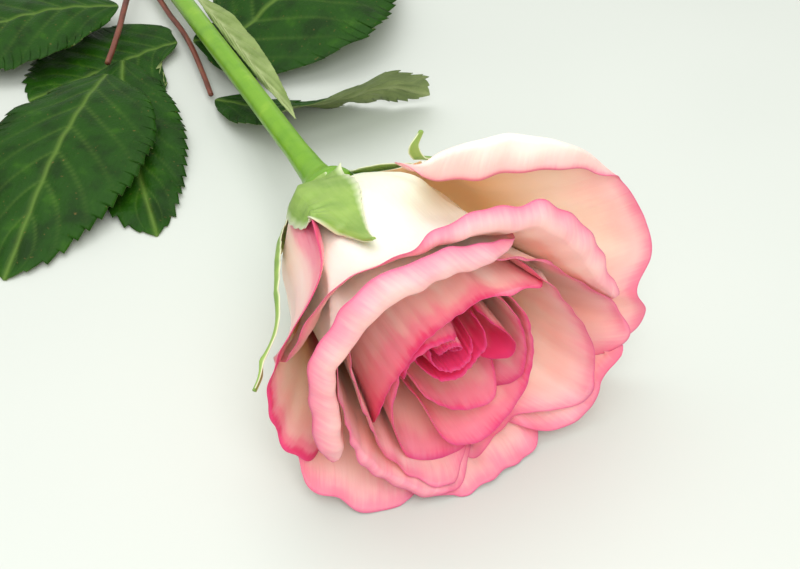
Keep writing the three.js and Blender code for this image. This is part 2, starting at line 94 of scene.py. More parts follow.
# ---- the petals, from the heart outwards ----
# Each crest point is [angle, radius, height, lip]. The lip is the width of the margin that
# rolls over beyond the crest: outwards when positive, inwards when negative.
PETALS = [
    ("heart_petal_1", [
        [-60, 1.6, -6, 0], [20, 2.4, -3.4, 0], [90, 2.2, -3, 0], [170, 2.2, -4, 0],
        [230, 2.2, -7, 0],
    ]),
    ("heart_petal_2", [
        [150, 3.2, -8, 0], [200, 4, -4.6, 0], [260, 4.4, -3.4, 0], [320, 4.8, -3.2, 0],
        [370, 5.2, -5, 0],
    ]),
    ("heart_petal_3", [
        [200, 6.5, -10, 0], [240, 7, -5, 0], [280, 7.6, -3.8, 0], [320, 7.4, -4.2, 0],
        [360, 8.2, -4, 0], [390, 8.2, -8, 0],
    ]),
    ("heart_petal_4", [
        [60, 4.6, -8, 0], [80, 4.8, -3, 0], [110, 6, -1.6, 0], [140, 8, -1.6, 0],
        [160, 10, -1.8, 0], [190, 10.8, -3.4, 0], [210, 10.5, -8, 0],
    ]),
    ("heart_petal_5", [
        [-50, 12.5, -12, 0], [-30, 15, -5, 0], [-15, 15.4, -4, 0], [0, 12.8, -4, 0],
        [20, 10.5, -4, 0.8], [40, 9.5, -7, 0],
    ]),
    ("inner_petal_1", [
        [210, 9, -12, 0], [230, 10.5, -5, 0], [254, 13, -4, 0], [272, 16.2, -4, 0],
        [290, 19.4, -4, 0], [302, 20, -4.5, 0], [320, 17.5, -12, 0],
    ]),
    ("inner_petal_2", [
        [-60, 22, -9, 0], [-40, 20, -3, 0], [-20, 17.4, -2, 0], [0, 15.8, -2, 0],
        [20, 15, -2, 0], [45, 15, -3, 0], [70, 15.6, -8, 0],
    ]),
    ("inner_petal_3", [
        [230, 12.6, -14, 0], [250, 15.6, -6, 0], [262, 21.5, -1.5, 0], [280, 25.6, -1, 0],
        [300, 23.6, -1, 0], [320, 21, -1, 0], [340, 18.6, -1, 0], [360, 17, -1, 0],
        [380, 16.6, -1, 0], [400, 16.4, -3, 0], [412, 15.6, -10, 0],
    ]),
    ("inner_petal_4", [
        [150, 10.5, -10, 0], [170, 11.4, -4, 0], [190, 13, -2, 0], [210, 16.4, -2, 0],
        [230, 21, -2, 0], [245, 25.8, -2, 0], [260, 27.2, -2, 0], [280, 27.4, -4, 0],
        [300, 26, -10, 0],
    ]),
    ("inner_petal_5", [
        [20, 24.5, -9, 0], [32, 22.5, -2, -0.6], [45, 19.6, -1, -1], [58, 16.8, -1, -0.8],
        [69, 15.2, -1, 0], [82, 13.2, -1, 0], [96, 11.9, -1, 0], [112, 11.2, -1, 0],
        [130, 11.2, -1, 0], [156, 11.8, -1, 0], [170, 13, -1, 0], [180, 14.3, -1.5, 0],
        [192, 16, -2, 0], [205, 18.6, -3, 0], [215, 20.8, -5, 0], [225, 23, -9, 0],
    ]),
    ("middle_petal_1", [
        [140, 25.5, -9, 0], [150, 25.5, -2, 0], [168, 22.8, 0, 0], [185, 21.2, 0, 0],
        [205, 21.6, 0, 0], [225, 24.2, 0, 0], [245, 27.2, 1.5, 0.8], [262, 28, 3, 1],
        [278, 27.6, -5, 0],
    ]),
    ("middle_petal_2", [
        [140, 27, -12, 0], [155, 27, -3, 0], [165, 26.6, 0, 0], [180, 25.6, 1, 0],
        [200, 25.2, 1, 1.5], [220, 26.4, 1, 2.4], [238, 28, 2, 2.6], [252, 29.2, 3.5, 2],
        [265, 29.4, 4, 0], [279, 28.8, -5, 0],
    ]),
    ("middle_petal_3", [
        [268, 29, -8, 0], [278, 28.2, -1.5, 0], [290, 27.4, -2.5, 0], [304, 28, -3, 0],
        [314, 32, -1, 0.8], [322, 37, 0, 1.4], [334, 35, 0, 0.8], [346, 32.2, 0, 0],
        [360, 27.8, 0, 0], [372, 25.4, 0, 0], [390, 23.4, -2, 0], [410, 22.4, -12, 0],
    ]),
    ("middle_petal_4", [
        [-30, 38, -9, 0], [-22, 41, -4, 0.8], [-14, 42.6, -3, 1.4], [-4, 38.6, -3, 0.8],
        [6, 33.6, -3, 0.5], [18, 29.4, -3, 0], [30, 27, -3, 0.6], [45, 25.2, -3, 1],
        [62, 23, -3, 1], [80, 22, -4, 0], [90, 21, -10, 0],
    ]),
    ("middle_petal_5", [
        [57, 27.5, -8, 0], [62, 26.2, -3, 2], [72, 25, 0, 4.6], [84, 24.2, 1, 6],
        [100, 24.4, 1, 7], [114, 25.2, 1, 7.8], [130, 26.6, 1, 8], [147, 27, 1, 7.4],
        [160, 27.2, 1, 6.6], [175, 26.4, 1, 6.4], [190, 26.8, 1, 6.6], [202, 28.2, 0, 5.6],
        [210, 29.8, -2, 3], [216, 30.2, -6, 0.8], [222, 30, -14, 0],
    ]),
    ("middle_petal_6", [
        [-12, 34, -14, 0], [0, 33, -4, 2], [12, 32, -2, 4.4], [25, 31.8, -1, 5.4],
        [40, 31.8, -1, 6], [55, 31.6, -1, 6], [70, 30.6, -1, 5.6], [84, 29.8, -1, 5],
        [94, 28.8, -2.5, 3.8], [104, 28.2, -4, 2], [116, 28.8, -5.5, 0.8],
        [127, 31.6, -6, 0], [140, 33, -6, 0], [155, 33.8, -6, 0], [164, 33.8, -7.5, 0],
        [171, 32.6, -12, 0], [178, 31.8, -18, 0],
    ]),
    ("guard_petal_1", [
        [290, 29, -12, 0], [302, 30.6, -1, 0], [309, 35.6, 0.5, 0.8], [317, 38.6, 1, 1.2],
        [327, 37, 0.5, 0.8], [336, 34, 0, 0], [348, 33, -9, 0],
    ]),
    ("guard_petal_2", [
        [128, 28.6, -30, 0], [134, 30, -17, 0], [142, 32.4, -10, 0], [152, 33.6, -9, 0],
        [165, 34.8, -9.5, 0], [180, 36.2, -10, 0.8], [195, 37.4, -10, 0.8],
        [208, 37.8, -10, 0.8], [218, 37, -11, 0], [228, 34, -20, 0],
    ]),
    ("guard_petal_3", [
        [238, 31, -8, 0], [248, 30, 1.5, 0], [260, 29.8, 4.5, 0.5], [275, 29.8, 5, 0.8],
        [286, 31, 3.6, 0.8], [293, 33.6, 2.5, 0.5], [301, 34.4, 1, 0], [310, 35, -7, 0],
    ]),
    ("guard_petal_4", [
        [208, 36, -18, 0], [215, 38.4, -9, 0.5], [221, 40, -5, 1], [226, 38.6, -2.5, 0.8],
        [233, 38, 0, 1], [241, 35.6, 1.5, 1], [250, 32.6, 0.5, 0], [260, 31, -9, 0],
    ]),
    ("guard_petal_5", [
        [-33, 43, -20, 0], [-26, 48.6, -12, 0.4], [-20, 52.4, -10, 0.9],
        [-14, 52.4, -9.5, 0.9], [-8, 49.2, -9.5, 0], [1, 51.4, -10.5, 0.6],
        [12, 51.4, -12, 0.5], [24, 49.6, -13.5, 0], [34, 48, -15, -3], [46, 45.6, -16.5, -7],
        [58, 43, -18, -9], [70, 40, -19, -9], [80, 37.4, -19, -7],
        [88, 36, -19, -2.5], [93, 35, -23, 0],
    ]),
]

# How a petal narrows to its foot: the foot's share of the width, and a power that is 1 for
# straight sides and less for sides that stay full.
FOOT = (0.5, 0.45)
FEET = {"guard_petal_5": (0.15, 1.4), "guard_petal_2": (0.6, 0.3), "middle_petal_6": (0.7, 0.3)}

# How late a wall leaves its barrel for the crest.
OPENING_POWER = 3.5
OPENINGS = {"middle_petal_6": 6}

# Small waves of the petals: lengths in degrees, a size and the first of the seeds.
LIVELY = {"heart": 0.5, "inner": 0.5, "middle": 1.0, "guard": 1.0}
HEIGHT_WAVE = ((11, 17, 29), 0.3, 10)
RADIUS_WAVE = ((13, 19, 31), 0.25, 40)
DIMPLE_WAVE = ((23, 37, 61), 0.35, 70)
DIMPLE_TURN = 0.8
DIMPLE_CLIMB = 40
LIP_WAVE = ((13, 19, 31), 0.4, 90)
BLUSH_WAVE = ((17, 29, 47), 0.25, 120)
LEAST_REACH = 0.4

# The edge: how it thins, and how the pink and its dark line fade away from it.
THIN_EDGE = 0.35
EDGE_TAPER = 1.5
SIDE_START = 0.6
RIM_START = 0.05
RIM_LINE = 0.6
MARGIN_POWER = 1.1
MARGIN_START = 1.3
LINE_START = 1.6
LEAST_LINE = 0.15

# Blush of each ring of petals, or of a single petal: width of the pink margin on the back and
# on the inner face in millimetres, its strength, and the pink of the whole back and of the
# whole inner face.
BLUSH = {
    "heart": (3.4, 6.0, 1.1, 0.12, 0.5),
    "inner": (4.6, 7.0, 0.7, 0.02, 0.17),
    "middle": (3.6, 8.5, 0.5, 0.0, 0.1),
    "guard": (5.0, 8.5, 0.6, 0.0, 0.06),
    "inner_petal_5": (8.0, 6.0, 0.88, 0.03, 0.12),
    "guard_petal_2": (5.5, 3.5, 1.1, 0.12, 0.06),
}
PINK_DEPTH = 26  # the depth over which the margins lose their pink
# The peach that deepens down a petal's inner face is partly painted warm bounce light.
HOLLOW = 38  # how far below its rim a petal's cream and peach stop changing
PINK_SIDE = 215  # the side of the bloom with the widest margins
PINK_SWING = {"heart": 0.35, "inner": 0.45, "middle": 0.15, "guard": 0.1}
LEAST_PINK = 0.2
PINK_SIDED = ("guard_petal_2",)  # pink down to the foot

# ---- the sepals: rows of [height, angle, half-width, lift off the petals] ----
SEPALS = [
    ("sepal_top", [
        [-63.5, 120, 2.8, 0], [-58, 122, 5.2, 0.6], [-50, 122, 7.2, 0.6], [-43, 121, 7.8, 0.2],
        [-38.5, 120, 7, 0], [-35, 119, 5.6, 0], [-31.6, 118, 4.2, 0], [-28, 117, 2.9, 0.2],
        [-24, 116, 1.7, 0.5], [-20, 114.5, 0.9, 1], [-17, 112.5, 0.35, 1.8],
    ]),
    ("sepal_left", [
        [-63.5, 188, 3.4, 0], [-57, 180, 3, 0.2], [-50, 170, 2.2, 0.4], [-43, 163, 1.6, 0.8],
        [-36, 162, 1.3, 2], [-29, 164, 1.2, 3], [-22, 168, 1.3, 2.4], [-16, 174, 1.1, 1.8],
        [-11, 178.5, 0.5, 1.4],
    ]),
    ("sepal_under", [
        [-63.5, 262, 4.4, 0], [-57, 262, 4.4, 0], [-50, 262, 3, 0], [-45, 262, 1.2, 0],
        [-41, 262, 0.6, 0],
    ]),
    ("sepal_right", [
        [-63.5, 334, 4.4, 0], [-55, 334, 4.8, 0], [-45, 333, 3.4, 0], [-36, 332, 1.6, 0],
        [-30, 331, 0.6, 0.4],
    ]),
    ("sepal_back", [
        [-63.5, 38, 3.2, 0], [-56, 38, 3, 0.2], [-48, 39, 2.4, 0.2], [-42, 45, 2, 0.2],
        [-36, 60, 1.6, 0.4], [-32, 75, 1.3, 1], [-29.5, 81, 1, 4], [-28.5, 80, 0.5, 7],
    ]),
]
SEPAL_THICKNESS = 0.5
SEPAL_MIDDLE = 1.1  # share of that thickness along the middle
SEPAL_THINNING = 0.8  # what the edges lose of it
SEPAL_CLEARANCE = 0.7
SEPAL_COLUMNS = 17
SEPAL_ROWS = 12  # rows for each row of the table
SEPAL_BULGE = 0.5
SEPAL_TEETH = {"sepal_left": 0.15}
FAINT_TEETH = 0.02
TEETH_TURN = 9
LEAST_SEPAL = 0.15
LEAST_BARE = 6
UNDER_SHARE = 0.9
DRAPE_PASSES = 30
SEPAL_FOOT = -66.4  # height where a sepal leaves the receptacle
SEPAL_FOOT_RADIUS = 8.2
SEPAL_FOOT_SHARE = 0.8
SEPAL_EDGE = 0.2  # share of the half-width that is pale

# ---- the stem: [height on the bloom's axis, radius] ----
STEM = [
    [-64.8, 7.4], [-66.5, 8.2], [-69, 7.6], [-72, 5.8], [-75, 4.4], [-80, 3.6], [-92, 3.1],
    [-140, 3], [-190, 3], [-226, 3.1], [-231, 3.7], [-236, 3.8], [-241, 3.2], [-267, 3.2],
]
STEM_SIDES = 40
SHAPED_END = -95  # the receptacle and neck have finer rows, down to here
EVEN_START = -97
SHAPED_ROWS = 50
EVEN_ROWS = 110
END_ROWS = 3
RIDGE_COUNT = 5
RIDGE_SIZE = 0.02
AROUND = 3  # millimetres of pattern for each radian
ROUND_GAP = 0.05  # least height of a round piece's skin above the table

# ---- the leaves, laid out from the point on the table below the mouth ----
STALKS = [
    ("leaf_left_stalk", 1.1, [
        [-4.9, 236, 7], [-9, 224, 8], [-16, 208, 8], [-22, 194, 7.4], [-27, 183, 7.2],
        [-30.5, 176, 7],
    ]),
    ("leaf_right_stalk", 1.0, [
        [-4.7, 229, 6], [-4.6, 215, 5.6], [-4.2, 200, 5], [-3.4, 188, 5], [-3.6, 176, 5],
        [-4.6, 162, 4], [-5.5, 152, 3],
    ]),
]
STALK_ROWS = 60
STALK_SIDES = 14
STALK_TAPER = 0.8
TIP_RADIUS = 0.02
TIP_REACH = 0.01
CURVE_STEPS = 400
LEAF_THICKNESS = 0.4
LEAF_ROWS = 150
LEAF_COLUMNS = 41
LEAF_GAP = 0.02
THIN_BLADE = 0.6  # what the edge loses of the thickness
THIN_POWER = 8
BLADE_LEAST = 0.02
BLADE_LEAN = 0.85  # below 1, a blade is widest nearer its foot
BLADE_FULLNESS = 0.8
LEAF_TEETH = 22
TOOTH_START = 0.25
TOOTH_FADE = 12
TOOTH_DEPTH = 1.5
TOOTH_LEAN = 2.2
TOOTH_POWER = 6
VEIN_PAIRS = 8
VEIN_SLANT = 0.28
VEIN_WIDTH = 0.008
VEIN_STRENGTH = 0.4
MIDRIB_WIDTH = 0.7
VEIN_DEPTH = 0.35
QUILT = 0.3
RIPPLE = 0.9
RIPPLE_LENGTHS = (17, 26, 41)
RIPPLE_TURN = 9
RIPPLE_POWER = 1.5
BLADE_LENGTH = 80  # of the surface pattern
LEAFLETS = [
    {"name": "leaf_left_leaflet_end",
     "ribs": [[-32, 172, 6], [-43, 153, 10], [-58, 130, 9], [-78, 99, 0.6]],
     "left": 24, "right": 21, "droop": 2, "roll": [0, 0], "seed": 3},
    {"name": "leaf_left_leaflet_outer",
     "ribs": [[-19, 206, 8.4], [-40, 208, 11], [-64, 208, 9], [-86, 203, 1.5]],
     "left": 22, "right": 24, "droop": 3, "roll": [0, 0], "seed": 4},
    {"name": "leaf_left_leaflet_inner",
     "ribs": [[-25, 181, 3.8], [-31, 158, 4.2], [-35, 130, 3.4], [-38, 99, 0.6]],
     "left": 15, "right": 19, "droop": 1, "roll": [0, 0], "seed": 5},
    {"name": "leaf_right_leaflet_inner",
     "ribs": [[-6.5, 184, 3.6], [-16, 186, 1.6], [-38, 181, 0.6], [-56, 176, 0.5]],
     "left": 24, "right": 26, "droop": 0.6, "roll": [0, 0], "seed": 6},
    {"name": "leaf_right_leaflet_outer",
     "ribs": [[-2.5, 178, 6.5], [12, 176, 7], [36, 184, 15], [74, 198, 10]],
     "left": 28, "right": 34, "droop": 3, "roll": [0, 0], "seed": 7},
    {"name": "leaf_right_leaflet_end",
     "ribs": [[-5, 150, 2.4], [8, 137, 4], [24, 127, 8], [40, 124, 10], [54, 123, 4]],
     "left": 11, "right": 16, "droop": 1, "roll": [0, 75], "seed": 8},
    {"name": "bract_leaf",
     "ribs": [[4.8, 200, 11], [5.4, 170, 14.5], [5.4, 135, 18], [5.2, 106, 21]],
     "left": 5, "right": 1.6, "droop": 0.5, "roll": [-10, -20], "seed": 9, "slot": "bract",
     "jagged": 0.1},
]

# ---- the table, the light and the camera, in metres and degrees ----
TABLE_HALF = 3.0
LAMP_COLOUR = (1.0, 0.99, 0.98)
ROOM_COLOUR = (0.97, 0.96, 0.92, 1)
ROOM_STRENGTH = 0.72
CAMERA_AZIMUTH = -25
CAMERA_ELEVATION = 44
CAMERA_DISTANCE = 0.22
CAMERA_ASIDE = -0.01188
CAMERA_ABOVE = 0.01594
NEAREST = 0.005
LENS = 50
SENSOR = 36

# ---- the bloom's frame, in millimetres from the point on the table below the mouth ----
rise = math.radians(AXIS_RISE)
MOUTH = np.array([0, 0, MOUTH_HEIGHT], float)
ACROSS = np.array([1.0, 0, 0])
FORWARD = np.array([0, -math.cos(rise), math.sin(rise)])
UPWARD = np.cross(FORWARD, ACROSS)

stem_low, stem_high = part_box("stem")
cut_end = STEM_REACH * math.cos(rise) + STEM_RADIUS * math.sin(rise)
ORIGIN = Vector(((stem_low.x + stem_high.x) / 2, stem_high.y - cut_end * MM, 0))


def bloom_points(angle, radius, height):
    """Points of the bloom's own frame, as millimetres from the place below the mouth."""
    turn = np.radians(angle)[..., None]
    out = ACROSS * np.cos(turn) + UPWARD * np.sin(turn)
    return MOUTH + out * radius[..., None] + FORWARD * height[..., None]


def table_radius(angle, height):
    """How far out a petal may be at an angle and height before it meets the table."""
    fall = -np.sin(np.radians(angle)) * UPWARD[2]
    room = MOUTH_HEIGHT + height * FORWARD[2] - FLOOR_GAP
    return np.where(fall > LEAST_FALL, room / np.maximum(fall, LEAST_FALL), NO_LIMIT)


# ---- meshes ----
def linear(shade):
    """A colour written as #rrggbb, as Blender's linear colour."""
    parts = [int(shade[k : k + 2], 16) / 255 for k in (1, 3, 5)]
    return [*(p / 12.92 if p < 0.04045 else ((p + 0.055) / 1.055) ** 2.4 for p in parts), 1]


def make_piece(name, points, faces, fields, places, material):
    """A mesh object from numpy arrays, riding on the rose and standing for its CAD node."""
    mesh = bpy.data.meshes.new(name)
    mesh.vertices.add(len(points))
    mesh.vertices.foreach_set("co", (points * MM).astype(np.float32).ravel())
    mesh.loops.add(faces.size)
    mesh.loops.foreach_set("vertex_index", faces.astype(np.int32).ravel())
    mesh.polygons.add(len(faces))
    mesh.polygons.foreach_set("loop_start", np.arange(0, faces.size, 4, dtype=np.int32))
    mesh.polygons.foreach_set("use_smooth", np.ones(len(faces), bool))
    for field, values in fields.items():
        attribute = mesh.attributes.new(field, "FLOAT", "POINT")
        attribute.data.foreach_set("value", values.astype(np.float32).ravel())
    layer = mesh.uv_layers.new(name="surface")
    layer.data.foreach_set("uv", places[faces.ravel()].astype(np.float32).ravel())
    mesh.update(calc_edges=True)
    mesh.validate()
    mesh.materials.append(material)
    piece = bpy.data.objects.new(name + "_look", mesh)
    bpy.context.scene.collection.objects.link(piece)
    piece.location = ORIGIN
    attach(piece, "root")
    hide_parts(name)


def sheet_faces(columns, rows):
    """Quads of a closed sheet: the outer side, the inner side and the border."""
    i, j = np.meshgrid(np.arange(columns - 1), np.arange(rows - 1), indexing="ij")
    a = (i * rows + j).ravel()
    b, c, d = a + rows, a + rows + 1, a + 1
    half = columns * rows
    outer = np.stack([a, b, c, d], 1)
    inner = np.stack([a, d, c, b], 1) + half
    low = np.arange(columns) * rows
    high = low + rows - 1
    border = np.concatenate([
        low, (columns - 1) * rows + np.arange(1, rows), high[-2::-1], np.arange(rows - 2, 0, -1),
    ])
    following = np.roll(border, -1)
    edge = np.stack([following, border, border + half, following + half], 1)
    return np.concatenate([outer, inner, edge])


def unit(vectors):
    """The same directions with a length of 1, or 0 where there is no direction."""
    return vectors / np.maximum(np.linalg.norm(vectors, axis=-1, keepdims=True), 1e-9)


def sheet(net, thickness):
    """Outer and inner points of a sheet round the middle surface net[column, row]."""
    normal = unit(np.cross(np.gradient(net, axis=0), np.gradient(net, axis=1)))
    offset = normal * (thickness / 2)[..., None]
    return np.concatenate([(net + offset).reshape(-1, 3), (net - offset).reshape(-1, 3)])


def both_sides(values):
    """The same values for the outer and the inner side of a sheet."""
    return np.concatenate([values.ravel(), values.ravel()])


def each_side(shape, outer, inner):
    """One number for the whole outer side of a sheet and one for its inner side."""
    return np.repeat([float(outer), float(inner)], math.prod(shape))


def surface_places(across, along):
    """Where each point of a sheet lies in the surface patterns."""
    return np.stack([both_sides(across), both_sides(along)], 1) * PLACE_SCALE


def arc_lengths(net, axis):
    """Distance along the net from its first column or row."""
    step = np.linalg.norm(np.diff(net, axis=axis), axis=-1)
    pad = [(0, 0), (0, 0)]
    pad[axis] = (1, 0)
    return np.cumsum(np.pad(step, pad), axis=axis)


def line_lengths(points):
    """Distance along a line of points from its first one."""
    return np.concatenate([[0], np.cumsum(np.linalg.norm(np.diff(points, axis=0), axis=1))])


def blur(values):
    """A gentle average of each number with its neighbours."""
    v = np.pad(values, 1, mode="edge")
    v = (v[:-2] + 2 * v[1:-1] + v[2:]) / 4
    return (v[:, :-2] + 2 * v[:, 1:-1] + v[:, 2:]) / 4


def wave(angles, seed, lengths, size):
    """A smooth wandering line over angles, made of a few waves of the given lengths."""
    draw = np.random.default_rng(seed)
    total = np.zeros_like(angles, float)
    for length in lengths:
        phase = draw.uniform(0, 2 * math.pi)
        total += draw.uniform(0.5, 1) * np.sin(2 * math.pi * angles / length + phase)
    return size * total / math.sqrt(len(lengths))


def petal_wave(angles, index, kind, strength=1.0):
    """One of the petals' small waves, different for each petal."""
    lengths, size, first_seed = kind
    return wave(angles, first_seed + index, lengths, size * strength)


def crest_curve(points, angles):
    """A smooth curve through rows of numbers: the later columns, at values of the first."""
    table = np.array(points, float)
    x = table[:, 0]
    slopes = np.zeros((len(x), 3))
    slopes[1:-1] = (table[2:, 1:] - table[:-2, 1:]) / (x[2:] - x[:-2])[:, None]
    slopes[0] = (table[1, 1:] - table[0, 1:]) / (x[1] - x[0])
    slopes[-1] = (table[-1, 1:] - table[-2, 1:]) / (x[-1] - x[-2])
    k = np.clip(np.searchsorted(x, angles, side="right") - 1, 0, len(x) - 2)
    span = (x[k + 1] - x[k])[:, None]
    t = ((angles - x[k]) / span[:, 0])[:, None]
    values = (
        table[k, 1:] * (2 * t**3 - 3 * t**2 + 1) + slopes[k] * span * (t**3 - 2 * t**2 + t)
        + table[k + 1, 1:] * (3 * t**2 - 2 * t**3) + slopes[k + 1] * span * (t**3 - t**2)
    )
    return values.T


# ---- the space that petals fill: how far out they reach, by whole degree and height ----
grid_heights = np.arange(PETAL_BASE, HIGHEST + HEIGHT_STEP, HEIGHT_STEP)
shell = np.full((360, len(grid_heights) + 1), float(EMPTY))


def whole_degrees(angles):
    """The nearest whole degrees, from 0 to 359."""
    return np.round(angles).astype(int) % 360


def nearest_level(heights):
    """Places of the nearest heights in the record."""
    level = np.clip(np.round((heights - PETAL_BASE) / HEIGHT_STEP), 0, len(grid_heights) - 1)
    return level.astype(int)


def shell_radius(slots, heights):
    """The outermost radius used so far, at whole degrees and any heights."""
    low = np.clip((heights - PETAL_BASE) / HEIGHT_STEP, 0, len(grid_heights) - 1).astype(int)
    return np.maximum(shell[slots, low], shell[slots, low + 1])


def record_wall(slots, radii, heights):
    """Adds a wall to the space that is filled."""
    for slot, radius, height in zip(slots, radii, heights):
        used = grid_heights <= height[-1]
        values = np.interp(grid_heights[used], height, radius)
        part = shell[slot, : len(values)]
        np.maximum(part, values, out=part)


def record_lip(slots, radii, heights):
    """Adds a lip to the space that is filled."""
    level = nearest_level(heights)
    for k in range(radii.shape[1]):
        np.maximum.at(shell, (slots, level[:, k]), radii[:, k])
        np.maximum.at(shell, (slots, np.maximum(level[:, k] - 1, 0)), radii[:, k])


def layer_step(height):
    """How far a petal's middle stays from the one inside it."""
    depth = np.clip(height / PETAL_BASE, 0, 1)
    return LAYER_STEP + BASE_STEP * depth**BASE_POWER


def covered(points, angles):
    """1 where a petal with these crest points covers an angle, otherwise 0."""
    first, last = points[0][0], points[-1][0]
    return sum(((angles + turn >= first) & (angles + turn <= last)) * 1 for turn in (-360, 0, 360))


# ---- petals ----
def wall_radius(crest, share, power):
    """Radius of the wall below a crest, a share of the way up: a barrel that opens."""
    body = BARREL_LEAST + BARREL_GAIN * np.tanh(crest / BARREL_CREST)
    swell = np.sin(math.pi / 2 * np.minimum(1, share / SWELL_SHARE)) ** SWELL_POWER
    opening = share**power
    return body * (BARREL_FOOT + (1 - BARREL_FOOT) * swell) * (1 - opening) + crest * opening


def petal_wall(index, angles, radius, height):
    """The wall from foot to crest, pushed out until it clears the petals inside it."""
    name = PETALS[index][0]
    slots = angles % 360
    outside = np.zeros(len(angles)) + sum(covered(outer, slots) for _, outer in PETALS[index + 1 :])
    share = (np.linspace(0, 1, WALL_ROWS) ** ROW_POWER)[None, :]
    heights = PETAL_BASE + (height[:, None] - PETAL_BASE) * share
    wall = wall_radius(radius[:, None], share, OPENINGS.get(name, OPENING_POWER))
    dimple_places = angles[:, None] * DIMPLE_TURN + share * DIMPLE_CLIMB
    dimples = petal_wave(dimple_places, index, DIMPLE_WAVE)
    wall = wall + dimples * np.sin(math.pi * share)
    room = table_radius(angles[:, None], heights) - outside[:, None] * LAYER_STEP
    wall = np.minimum(wall, room)
    need = shell_radius(slots[:, None], heights) + layer_step(heights)
    push = np.maximum(need - wall, 0)
    for _ in range(PUSH_PASSES):
        push = np.maximum(need - wall, blur(push))
    wall = wall + push
    record_wall(slots, wall, heights)
    return wall, heights, share


def petal_lip(index, angles, lip, wall, heights):
    """Rows of the margin that rolls over beyond the crest: their radii and heights."""
    inward = lip < 0
    lean = np.arctan2(wall[:, -1] - wall[:, -3], heights[:, -1] - heights[:, -3])
    turn = np.where(inward, -math.radians(FOLD_TURN), math.radians(LIP_END) - lean)
    turn = turn * np.minimum(1, np.abs(lip) / FULL_LIP)
    bend = np.where(inward, FOLD_BEND, LIP_BEND)
    reach = np.maximum(np.abs(lip) + petal_wave(angles, index, LIP_WAVE), LEAST_REACH)
    radius, height = wall[:, -1].copy(), heights[:, -1].copy()
    radii, levels = [], []
    for k in range(LIP_ROWS):
        done = (k + 0.5) / LIP_ROWS
        direction = lean + turn * np.minimum(1, done / bend)
        radius = radius + reach / LIP_ROWS * np.sin(direction)
        height = height + reach / LIP_ROWS * np.cos(direction)
        radii.append(radius)
        levels.append(height)
    radii, levels = np.stack(radii, 1), np.stack(levels, 1)
    record_lip(angles % 360, radii, levels)
    return radii, levels


def petal_net(name, angles, wall, heights, share):
    """The petal's middle surface, narrowed towards its foot, with its angles and radii."""
    middle = (angles[0] + angles[-1]) / 2
    foot, power = FEET.get(name, FOOT)
    narrow = foot + (1 - foot) * share[0] ** power
    spread = middle + (angles[:, None] - middle) * narrow[None, :]
    for k in range(wall.shape[1]):
        wall[:, k] = np.interp(spread[:, k], angles, wall[:, k])
        heights[:, k] = np.interp(spread[:, k], angles, heights[:, k])
    net = bloom_points(spread, wall, heights)
    net[..., 2] = np.maximum(net[..., 2], FLOOR_GAP)
    return net, spread


def petal_fields(index, angles, spread, wall, heights, top):
    """What the petals' material reads at each point, and the distance from the petal's rim."""
    name = PETALS[index][0]
    ring = name.split("_")[0]
    turned = np.radians(np.minimum(spread - spread[:1], spread[-1:] - spread))
    sides = wall * turned + SIDE_START
    rim = 1 / (1 / (top + RIM_START) ** 2 + 1 / (sides + RIM_START) ** 2) ** 0.5
    back_width, inner_width, strength, back_pink, inner_pink = BLUSH.get(name, BLUSH[ring])
    uneven = 1 + petal_wave(angles, index, BLUSH_WAVE)
    uneven = uneven + PINK_SWING[ring] * np.cos(np.radians(angles - PINK_SIDE))
    uneven = np.maximum(uneven, LEAST_PINK)[:, None]
    fade = 1 if name in PINK_SIDED else np.clip(MARGIN_START + heights / PINK_DEPTH, 0, 1)
    margins = [
        fade * strength * np.exp(-((rim / (width * uneven)) ** MARGIN_POWER))
        for width in (back_width, inner_width)
    ]
    line = np.exp(-rim / RIM_LINE) * np.clip(LINE_START + heights / PINK_DEPTH, LEAST_LINE, 1)
    fields = {
        "margin": np.concatenate([margin.ravel() for margin in margins]),
        "rim_line": both_sides(line),
        "depth": both_sides(np.clip(top / HOLLOW, 0, 1)),
        "back": each_side(top.shape, 1, 0),
        "pink": each_side(top.shape, back_pink, inner_pink),
    }
    return fields, rim


def petal(index, material):
    """A petal that lies round the ones inside it and ends in a wavy crest with its lip."""
    name, points = PETALS[index]
    lively = LIVELY[name.split("_")[0]]
    angles = np.arange(math.ceil(points[0][0]), math.floor(points[-1][0]) + 1)
    radius, height, lip = crest_curve(points, angles)
    height = height + petal_wave(angles, index, HEIGHT_WAVE, lively)
    radius = radius + petal_wave(angles, index, RADIUS_WAVE, lively)
    wall, heights, share = petal_wall(index, angles, radius, height)
    if np.abs(lip).max() >= LEAST_LIP:
        radii, levels = petal_lip(index, angles, lip, wall, heights)
        wall = np.concatenate([wall, radii], 1)
        heights = np.concatenate([heights, levels], 1)
        share = np.concatenate([share, np.ones((1, LIP_ROWS))], 1)
    net, spread = petal_net(name, angles, wall, heights, share)
    along = arc_lengths(net, 1)
    across = arc_lengths(net, 0)
    top = along[:, -1:] - along
    fields, rim = petal_fields(index, angles, spread, wall, heights, top)
    thickness = PETAL_THICKNESS * np.clip(THIN_EDGE + rim / EDGE_TAPER, THIN_EDGE, 1)
    places = surface_places(across - across[len(angles) // 2][None, :], along)
    faces = sheet_faces(*net.shape[:2])
    make_piece(name, sheet(net, thickness), faces, fields, places, material)


# ---- sepals ----
def sepal_curves(rows):
    """A sepal's finer rows: their height, angle, half-width and lift, and places in the table."""
    foot = [SEPAL_FOOT, rows[0][1], rows[0][2] * SEPAL_FOOT_SHARE, 0]
    table = np.array([foot] + rows, float)
    steps = np.arange(len(table))
    places = np.linspace(0, len(table) - 1, SEPAL_ROWS * len(table))
    height, angle, half_width = crest_curve(np.column_stack([steps, table[:, :3]]), places)
    return height, angle, half_width, np.interp(places, steps, table[:, 3]), places


